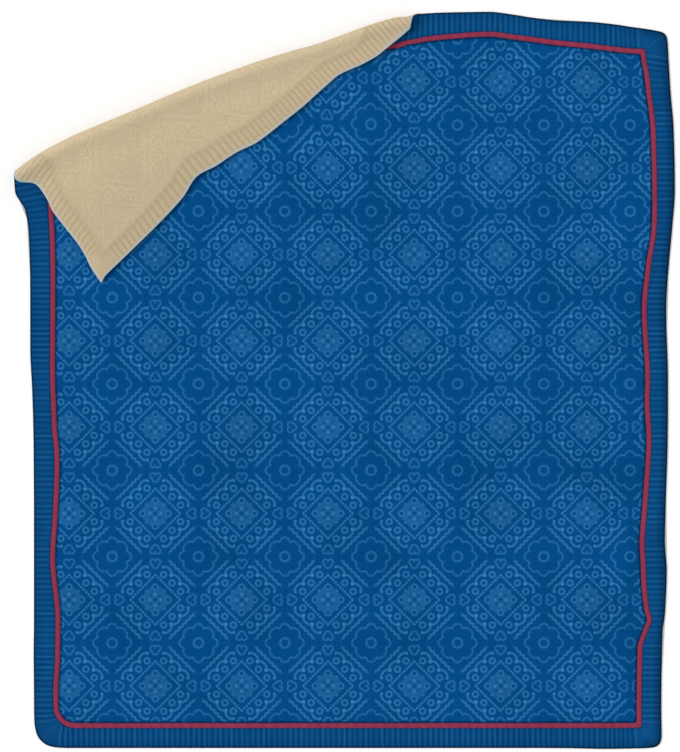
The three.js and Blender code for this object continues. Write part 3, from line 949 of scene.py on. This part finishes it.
def motif(cloth, first_u, first_v):
    """Light lines of the medallions, and lines of the flowers and hearts."""
    _, across, up = cloth.coordinates("laid")
    x = (across - first_u).maths("PINGPONG", REPEAT / 2)
    y = (up - first_v).maths("PINGPONG", REPEAT / 2)
    far = highest(x, y)
    near = lowest(x, y)
    total = x + y
    apart = x - y

    light = below(total, MIDDLE_SIZE, MIDDLE_SOFT) * below(far, MIDDLE_TIP, MIDDLE_TIP_SOFT)
    light = light * MIDDLE_LIGHT
    for at, off, radius, bright in MIDDLE_SPOTS:
        light = highest(light, below(span(far - at, near - off), radius, SPOT_SOFT) * bright)
    for at, off, radius, dark in MIDDLE_HOLES:
        hole = below(span(far - at, near - off), radius, HOLE_SOFT) * dark
        light = light * hole.less_from(1)

    dots = (apart * (2 * math.pi / DOT_PITCH)).maths("COSINE") * DOT_SWING + DOT_LEAST
    bold = stroke(total - DOT_LINE, DOT_HALF, DOT_SOFT) * dots * DOT_LIGHT

    centre = None
    for at, off, radius, bright in RINGS:
        away = span(far - at, near - off)
        light = highest(light, stroke(away - radius, RING_HALF) * bright)
        centre = away if centre is None else lowest(centre, away)
    outer = above(total, SCALLOP_FROM, SCALLOP_SOFT) * above(near, SCALLOP_SIDE, SCALLOP_SOFT)
    bold = highest(bold, stroke(centre - SCALLOP, SCALLOP_HALF) * outer * SCALLOP_LIGHT)
    for at, off, radius, bright in SCALLOP_SPOTS:
        light = highest(light, below(span(far - at, near - off), radius, SCALLOP_SPOT_SOFT) * bright)

    beads = (apart * (2 * math.pi / BEAD_PITCH)).maths("COSINE")
    thick = stroke(total - BEAD_LINE - beads * BEAD_WIGGLE, BEAD_HALF, BEAD_SOFT)
    bold = highest(bold, thick * above(near, BEAD_SIDE, BEAD_SIDE_SOFT) * BEAD_LIGHT)

    petal_x = x.less_from(REPEAT / 2)
    petal_y = y.less_from(REPEAT / 2)
    from_flower = span(petal_x, petal_y)
    wave = (petal_y.maths("ARCTAN2", petal_x) * PETAL_WAVES).maths("COSINE") - PETAL_TURN
    edge = abs(wave) ** PETAL_POWER * (wave * PETAL_UNEVEN + PETAL) + FLOWER
    fade = (abs(wave) * FLOWER_FADE).less_from(FLOWER_LIGHT)
    flower = stroke(from_flower - edge, FLOWER_HALF) * fade
    flower = highest(flower, stroke(from_flower - FLOWER_RING, FLOWER_HALF) * RING_LIGHT)

    along = far - HEART_TIP
    lobe, point = [span(along - at, near - off) - radius for at, off, radius in HEART_ROUNDS]
    outline = lobe.maths("SMOOTH_MIN", point, HEART_BLEND)
    heart = stroke(outline + HEART_HALF, HEART_HALF)
    return highest(light, bold), highest(flower, heart * HEART_LIGHT)


# Colours on screen
FACE_GROUND = (4, 72, 129)
FACE_LIGHT = (50, 120, 175)
FLOWER_BLUE = (48, 118, 176)
# Painted shadow beside the band, on the face and on the border's inner edge
SEAM_SHADOW_BLUE = (2, 28, 62)
BORDER_BLUE = (11, 74, 128)
# Painted shade in the rib grooves, and a painted highlight on the ribs
GROOVE_SHADE_BLUE = (2, 46, 86)
RIDGE_HIGHLIGHT_BLUE = (36, 108, 160)
# Painted shade at the border's rim
RIM_SHADE_BLUE = (3, 20, 40)
MITRE_BLUE = (60, 122, 168)
CRIMSON = (141, 53, 77)
CRIMSON_DARK = (96, 26, 46)
BEIGE = (195, 178, 147)
BEIGE_LIGHT = (216, 200, 168)
BEIGE_WARM = (204, 180, 138)
# Painted shade in the grooves of the reverse's ribs and along its seam
BEIGE_SHADE = (158, 140, 108)
HEM_PALE = (178, 186, 187)

# Uneven shares of brightness. Columns: size of the patches in mm, detail, swing, least share.
FACE_MOTTLES = [
    (260, 2, 0.4, 0.8),
    (9, 1, 0.26, 0.87),
]
BORDER_MOTTLES = [
    (240, 2, 0.4, 0.8),
]
BAND_MOTTLES = [
    (120, 2, 0.3, 0.85),
]
BACK_MOTTLES = [
    (5, 3, 0.44, 0.77),
]
BACK_PRINT = (60, 1, 0.4, 0.2)

# Shades by depth from the edge. Columns: side of the limit, limit and softness in mm, share,
# colour.
# Painted shade: a dark line at the rolled rim, and a painted shadow at the border's inner edge
# beside the band
BORDER_SHADES = [
    (below, 5, 3.5, 0.85, RIM_SHADE_BLUE),
    (above, BORDER - 3, 2, 0.5, SEAM_SHADOW_BLUE),
]
BAND_SHADES = [
    (below, BORDER + 2, 1.5, 0.25, CRIMSON_DARK),
    (above, SEAM - 2, 1.5, 0.25, CRIMSON_DARK),
]
BACK_SHADES = [
    (below, 6, 3, 0.9, HEM_PALE),
]

# Fine relief. Columns: pitch of the weave in mm, its height, size of the fuzz in mm, its height,
# strength of the relief, depth of the relief in mm.
FACE_RELIEF = (1.6, 0.2, 5, 0.5, 0.35, 0.5)
BORDER_RELIEF = (1.6, 0.2, 5, 0.6, 0.35, 0.5)
BAND_RELIEF = (1.6, 0.3, 4, 0.6, 0.35, 0.4)
BACK_RELIEF = (1.8, 0.3, 6, 0.8, 0.4, 0.6)
BACK_PRINT_HEIGHT = 2

# Roughness of the cloths
ROUGH = 0.95
BAND_ROUGH = 0.9

# Ragged shadow of the face beside the band, in mm, and its share
SEAM_SHADOW = 7
SEAM_SHADOW_SIZE = 16
SEAM_SHADOW_AT = SEAM + 2
SEAM_SHADOW_SOFT = 3
SEAM_SHADOW_SHARE = 0.8

# Painted shade in the rib grooves and painted highlight on the rib tops: limits and softness over
# the place across a rib, and shares
GROOVE = (0.24, 0.2)
GROOVE_LEAST = 0.34
GROOVE_SWING = 0.25
RIDGE = (0.78, 0.16)
RIDGE_SHARE = 0.5
BACK_GROOVE = (0.3, 0.28)
BACK_GROOVE_SHARE = 0.5

# Light lines at the corners of the border, and the painted shade of its rim, deeper on the right
MITRE_HALF = 1.2
MITRE_SHARE = 0.4
CROSS_SHARE = 0.3
RIM_SHADE = 34
RIM_SHARE = 0.25
RIM_SHARE_RIGHT = 0.3
RIGHT_SOFT = 1

# The reverse: depth of its ribbed edge, painted shade along the seam inside it, warm patches,
# painted shade across the fold
BACK_RIB_DEPTH = 52
BACK_RIB_SOFT = 10
BACK_PRINT_SOFT = 8
BACK_SEAM_HALF = 4
BACK_SEAM_SOFT = 9
BACK_SEAM_SHARE = 0.34
WARM_SIZE = 22
WARM = (0.5, 0.2)
WARM_SHARE = 0.2
FLAP_SHADE = 260
FLAP_SHADE_SWING = 0.14
FLAP_SHADE_LEAST = 0.94


def face_material():
    cloth = Cloth("blue_patterned_cotton", ROUGH)
    light, flower = motif(cloth, FIRST_U, FIRST_V)
    cloth.ground(FACE_GROUND)
    cloth.paint(light, FACE_LIGHT)
    cloth.paint(flower, FLOWER_BLUE)
    cloth.mottle(FACE_MOTTLES)
    # Painted shadow on the face beside the band, with a ragged edge
    ragged = cloth.depth - cloth.noise(SEAM_SHADOW_SIZE, 1) * SEAM_SHADOW
    shadow = below(ragged, SEAM_SHADOW_AT, SEAM_SHADOW_SOFT)
    cloth.paint(shadow * SEAM_SHADOW_SHARE, SEAM_SHADOW_BLUE)
    return cloth.done(FACE_RELIEF, highest(light, flower))


def border_material():
    cloth = Cloth("blue_ribbed_cotton", ROUGH)
    turn, across_rib, fade = cloth.ribs()
    chance = cloth.chance(turn)
    cloth.ground(BORDER_BLUE)
    cloth.mottle(BORDER_MOTTLES)
    # Painted shade in the grooves and painted highlight on the tops of the ribs
    groove = below(across_rib, *GROOVE) * fade
    cloth.paint(groove * (chance * GROOVE_SWING + GROOVE_LEAST), GROOVE_SHADE_BLUE)
    ridge = above(across_rib, *RIDGE) * fade
    cloth.paint(ridge * chance * RIDGE_SHARE, RIDGE_HIGHLIGHT_BLUE)
    mitre = stroke(cloth.along_corner - cloth.depth, MITRE_HALF, MITRE_HALF)
    cloth.paint(mitre * MITRE_SHARE, MITRE_BLUE)
    cross = stroke(cloth.along_corner - SEAM, MITRE_HALF, MITRE_HALF)
    cloth.paint(cross * CROSS_SHARE, MITRE_BLUE)
    # Painted shade over the outer part of the border, deeper on the right side
    right = above(cloth.u, WIDE - BORDER, RIGHT_SOFT)
    rim = below(cloth.depth, RIM_SHADE / 2, RIM_SHADE / 2)
    cloth.paint(rim * (right * RIM_SHARE_RIGHT + RIM_SHARE), RIM_SHADE_BLUE)
    cloth.shade(BORDER_SHADES)
    return cloth.done(BORDER_RELIEF)


def band_material():
    cloth = Cloth("crimson_cotton_band", BAND_ROUGH)
    cloth.ground(CRIMSON)
    cloth.mottle(BAND_MOTTLES)
    cloth.shade(BAND_SHADES)
    return cloth.done(BAND_RELIEF)


def reverse_material():
    cloth = Cloth("beige_quilted_cotton", ROUGH)
    light, flower = motif(cloth, BACK_FIRST_U, BACK_FIRST_V)
    _, across_rib, fade = cloth.ribs()
    _, across, up = cloth.coordinates("laid")
    border = below(cloth.depth, BACK_RIB_DEPTH, BACK_RIB_SOFT)
    lines = highest(light, flower) * above(cloth.depth, BORDER, BACK_PRINT_SOFT)
    rise = (up - FOLD_START[1]) * math.cos(FOLD_ANGLE)
    beyond = rise - (across - FOLD_START[0]) * math.sin(FOLD_ANGLE)
    cloth.ground(BEIGE)
    cloth.paint(lines * cloth.patches(*BACK_PRINT), BEIGE_LIGHT)
    cloth.paint(above(cloth.noise(WARM_SIZE), *WARM) * WARM_SHARE, BEIGE_WARM)
    # Painted light and shade: the turned corner lighter near the fold, darker toward its free edge
    lit = below(beyond, FLAP_SHADE / 2, FLAP_SHADE / 2)
    cloth.vary(lit * FLAP_SHADE_SWING + FLAP_SHADE_LEAST)
    cloth.mottle(BACK_MOTTLES)
    # Painted shade in the rib grooves and along the seam at the inner edge of the ribbed border
    groove = below(across_rib, *BACK_GROOVE) * border * fade
    cloth.paint(groove * BACK_GROOVE_SHARE, BEIGE_SHADE)
    seam = stroke(cloth.depth - BACK_RIB_DEPTH, BACK_SEAM_HALF, BACK_SEAM_SOFT)
    cloth.paint(seam * BACK_SEAM_SHARE, BEIGE_SHADE)
    cloth.shade(BACK_SHADES)
    return cloth.done(BACK_RELIEF, lines * BACK_PRINT_HEIGHT)


MATERIALS = {
    "face": face_material(),
    "border": border_material(),
    "band": band_material(),
    "reverse": reverse_material(),
}


def dress(piece, slot, node):
    piece.data.materials.append(MATERIALS[slot])
    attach(piece, "root")
    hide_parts(node)


dress(panel, "face", "centre_panel")
for side in SIDES:
    dress(borders[side], "border", f"border_{side}")
    dress(bands[side], "band", f"band_{side}")
dress(back, "reverse", "backing")

# Stage: floor, light and camera, in metres
CAMERA_FAR = 100
FLOOR_HALF = 30
FLOOR_BELOW = 0.0006
FLOOR_GREY = 0.97
SKY = 0.69
KEY = 1.75
KEY_SPREAD = math.radians(24)
KEY_TILT = math.radians(50)
KEY_TURN = math.radians(260)


def make_floor():
    mesh = bpy.data.meshes.new("floor")
    half = FLOOR_HALF
    corners = [(-half, -half, 0), (half, -half, 0), (half, half, 0), (-half, half, 0)]
    mesh.from_pydata(corners, [], [(0, 1, 2, 3)])
    floor = bpy.data.objects.new("floor", mesh)
    floor.location.z = -FLOOR_BELOW
    bpy.context.scene.collection.objects.link(floor)
    paper = bpy.data.materials.new("pale_floor")
    paper.use_nodes = True
    shader = paper.node_tree.nodes["Principled BSDF"]
    shader.inputs["Base Color"].default_value = (FLOOR_GREY, FLOOR_GREY, FLOOR_GREY, 1)
    shader.inputs["Roughness"].default_value = 1
    shader.inputs["Specular IOR Level"].default_value = 0
    mesh.materials.append(paper)


def make_lights():
    world = bpy.data.worlds.new("studio")
    world.use_nodes = True
    sky = world.node_tree.nodes["Background"]
    sky.inputs["Color"].default_value = (1, 1, 1, 1)
    sky.inputs["Strength"].default_value = SKY
    bpy.context.scene.world = world
    key = bpy.data.lights.new("key", "SUN")
    key.energy = KEY
    key.angle = KEY_SPREAD
    lamp = bpy.data.objects.new("key", key)
    lamp.rotation_euler = (KEY_TILT, 0, KEY_TURN)
    bpy.context.scene.collection.objects.link(lamp)


def make_camera():
    data = bpy.data.cameras.new("camera")
    data.sensor_width = SENSOR
    data.lens = SENSOR * CAMERA_HEIGHT / (max(IMAGE) * MM_PER_PIXEL)
    data.clip_end = CAMERA_FAR
    camera = bpy.data.objects.new("camera", data)
    across = (IMAGE[0] / 2 - CLOTH_CORNER_PIXEL[0]) * MM_PER_PIXEL - MIDDLE[0]
    up = (CLOTH_CORNER_PIXEL[1] - IMAGE[1] / 2) * MM_PER_PIXEL - MIDDLE[1]
    camera.location = (across * MM, up * MM, CAMERA_HEIGHT * MM)
    bpy.context.scene.collection.objects.link(camera)
    bpy.context.scene.camera = camera


make_floor()
make_lights()
make_camera()
bpy.context.scene.view_settings.view_transform = "Standard"
